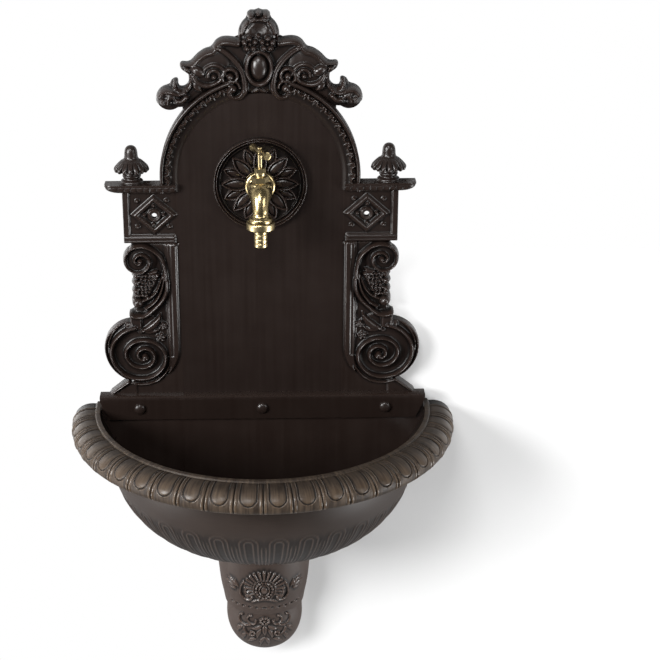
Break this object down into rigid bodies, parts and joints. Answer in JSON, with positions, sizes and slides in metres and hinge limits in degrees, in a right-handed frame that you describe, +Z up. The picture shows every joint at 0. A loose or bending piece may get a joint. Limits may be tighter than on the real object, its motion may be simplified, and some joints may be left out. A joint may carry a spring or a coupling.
{
  "type": "wall fountain",
  "caption": "Wall fountain: arched cast back plate with scrolled sides and crest, half-round basin bolted below it, corbel, and a brass bib tap with tee handle and hose tail.",
  "frame": {"origin": "midway between the two wall-screw holes, on the wall plane", "axes": "+X to the right seen from the front, +Y into the wall, +Z up; the fountain stands out along -Y"},
  "size_m": [0.4622, 0.2651, 0.8232],
  "materials": {
    "antique_brown": "satin",
    "brass": "polished",
    "rubber": "matt",
    "plated_steel": "zinc plated"
  },
  "bodies": {
    "fountain": {"back_plate": "antique_brown", "left_finial": "antique_brown", "right_finial": "antique_brown", "basin_bowl": "antique_brown", "corbel": "antique_brown", "flange_bolts": "antique_brown", "tap_rosette": "antique_brown", "tap_body": "brass", "tap_bonnet": "brass", "gland_nut": "brass", "hose_tail": "brass", "hose_union_nut": "brass", "inlet_locknut": "brass", "drain_fitting": "brass", "drain_locknut": "brass", "drain_gasket": "rubber", "gland_packing": "rubber", "hose_tail_gasket": "rubber", "flange_washers": "plated_steel", "flange_nuts": "plated_steel", "inlet_washer": "plated_steel"},
    "jumper": {"jumper": "brass", "jumper_washer": "rubber"},
    "spindle": {"tap_spindle": "brass", "tee_handle": "brass"}
  },
  "joints": [
    {"name": "jumper_lift", "type": "slide", "parent": "fountain", "child": "jumper", "axis": [0, 0, 1], "range_m": [0, 0.00438]},
    {"name": "handle_turn", "type": "hinge", "parent": "jumper", "child": "spindle", "pos_m": [0, -0.05, 0.084], "axis": [0, 0, 1], "range_deg": [0, 630]}
  ],
  "couplings": [
    {"joint": "jumper_lift", "follows": "handle_turn", "m_per_rad": 0.00039789}
  ]
}
